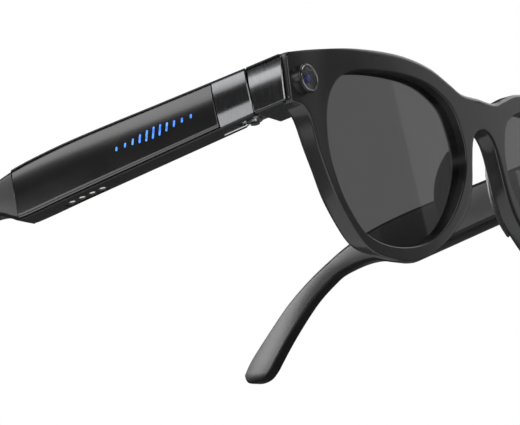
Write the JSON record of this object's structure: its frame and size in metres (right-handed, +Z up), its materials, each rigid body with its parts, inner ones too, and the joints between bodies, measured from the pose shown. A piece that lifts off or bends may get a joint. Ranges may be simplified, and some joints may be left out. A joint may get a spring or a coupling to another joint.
{
  "type": "smart glasses",
  "caption": "Smart glasses with tinted lenses, a corner camera, folding temples on screw hinges, light bars, charging contacts, a capture button and a power slider.",
  "frame": {"origin": "centre of the outline on the plane that the rims and the temple tips rest on, temples open", "axes": "+X towards the wearer's left, across the front; +Y towards the back of the head; +Z up, parallel to the upright front"},
  "size_m": [0.1626, 0.1398, 0.051],
  "materials": {
    "front_black": "polished black acetate-like plastic",
    "temple_black": "satin-gloss black plastic",
    "tip_black": "polished black plastic",
    "pad_black": "polished black plastic",
    "lens_tint": "neutral grey tint",
    "camera_black": "gloss black",
    "camera_ring_grey": "grey glass bevel",
    "camera_glass": "clear cover glass",
    "camera_coated_glass": "blue-violet coated lens",
    "circuit_green": "solder mask",
    "light_guide_clear": "milky light guide",
    "flex_copper": "polyimide flex",
    "gunmetal": "brushed, dark plated",
    "screw_steel": "bright",
    "hinge_steel": "satin",
    "core_steel": "plain strip",
    "battery_wrap": "foil pouch",
    "speaker_black": "moulded box",
    "component_case": "pressed can",
    "light_blue": "lit blue light guide",
    "carrier_black": "fine matt",
    "contact_metal": "plated",
    "control_black": "satin"
  },
  "bodies": {
    "front": {"front_shell": "front_black", "front_rear_cover": "front_black", "lens_right": "lens_tint", "lens_left": "lens_tint", "nose_pad_right": "pad_black", "nose_pad_left": "pad_black", "camera_barrel": "camera_black", "camera_ring": "camera_ring_grey", "camera_window": "camera_glass", "camera_lens_stack": "camera_coated_glass", "camera_sensor_board": "circuit_green", "recording_light_window": "light_guide_clear", "recording_light_board": "circuit_green", "front_flex": "flex_copper", "front_trim_right": "gunmetal", "front_trim_left": "gunmetal", "front_hinge_leaf_right": "hinge_steel", "front_hinge_leaf_left": "hinge_steel", "front_leaf_screws": "screw_steel", "hinge_screw_right": "screw_steel", "hinge_screw_left": "screw_steel"},
    "right_temple": {"housing_right": "temple_black", "cover_right": "temple_black", "temple_trim_right": "gunmetal", "tip_right": "tip_black", "tip_core_right": "core_steel", "temple_hinge_leaf_right": "hinge_steel", "temple_leaf_screws_right": "screw_steel", "battery_right": "battery_wrap", "speaker_right": "speaker_black", "microphone_right": "component_case", "main_board": "circuit_green", "touch_sensor": "flex_copper", "light_bars": "light_blue", "light_board": "circuit_green", "contact_carrier": "carrier_black", "charging_contacts": "contact_metal", "button_switch": "component_case"},
    "left_temple": {"housing_left": "temple_black", "cover_left": "temple_black", "temple_trim_left": "gunmetal", "tip_left": "tip_black", "tip_core_left": "core_steel", "temple_hinge_leaf_left": "hinge_steel", "temple_leaf_screws_left": "screw_steel", "battery_left": "battery_wrap", "speaker_left": "speaker_black", "microphone_left": "component_case", "left_board": "circuit_green", "slider_switch": "component_case"},
    "capture_button_body": {"capture_button": "control_black"},
    "power_slider_body": {"power_slider": "control_black"}
  },
  "joints": [
    {"name": "right_temple_fold", "type": "hinge", "parent": "front", "child": "right_temple", "pos_m": [-0.06824, -0.04944, 0.03872], "axis": [0, -0.1063, -0.9943], "range_deg": [0, 94]},
    {"name": "left_temple_fold", "type": "hinge", "parent": "front", "child": "left_temple", "pos_m": [0.06824, -0.04944, 0.03872], "axis": [0, 0.1063, 0.9943], "range_deg": [0, 80]},
    {"name": "capture_press", "type": "slide", "parent": "right_temple", "child": "capture_button_body", "axis": [0, -0.1063, -0.9943], "range_m": [0, 0.0004], "stiffness_N_per_m": 300},
    {"name": "power_slide", "type": "slide", "parent": "left_temple", "child": "power_slider_body", "axis": [0.0698, 0.9919, -0.106], "range_m": [0, 0.002]}
  ]
}
